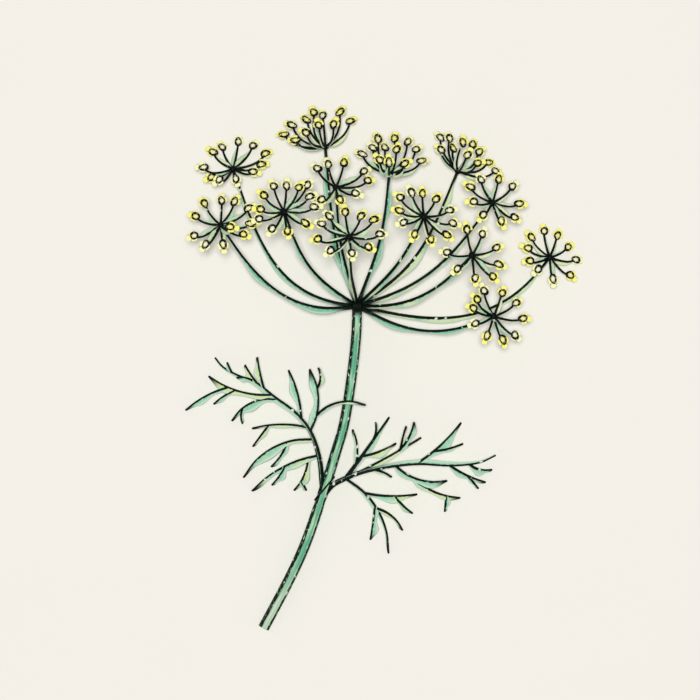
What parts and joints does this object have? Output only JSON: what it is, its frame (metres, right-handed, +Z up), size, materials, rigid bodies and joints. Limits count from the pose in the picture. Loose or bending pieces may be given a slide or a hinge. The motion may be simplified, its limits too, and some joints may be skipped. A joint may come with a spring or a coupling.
{
  "type": "flowering dill stem",
  "caption": "Cut flowering dill stem lying down: ribbed stem, two feathery thread leaves and an umbel of small yellow florets.",
  "frame": {"origin": "on the surface that the stem lies on, under the middle of its bounding box", "axes": "+Y along the stem from its cut end towards the flowers, +Z up from the surface, +X to the right of the stem"},
  "size_m": [0.1514, 0.1986, 0.0593],
  "materials": {
    "stem_green": "fresh ribbed stem, blue-green with dark green ribs, satin",
    "leaf_green": "fresh thread leaf, blue-green to lime, satin",
    "floret_yellow": "small yellow petals with green pedicels, matt"
  },
  "bodies": {
    "root": {"stem": "stem_green", "leaf_left": "leaf_green", "leaf_right": "leaf_green", "umbellet_01": "floret_yellow", "umbellet_02": "floret_yellow", "umbellet_03": "floret_yellow", "umbellet_04": "floret_yellow", "umbellet_05": "floret_yellow", "umbellet_06": "floret_yellow", "umbellet_07": "floret_yellow", "umbellet_08": "floret_yellow", "umbellet_09": "floret_yellow", "umbellet_10": "floret_yellow", "umbellet_11": "floret_yellow", "umbellet_12": "floret_yellow", "umbellet_13": "floret_yellow"}
  },
  "joints": []
}
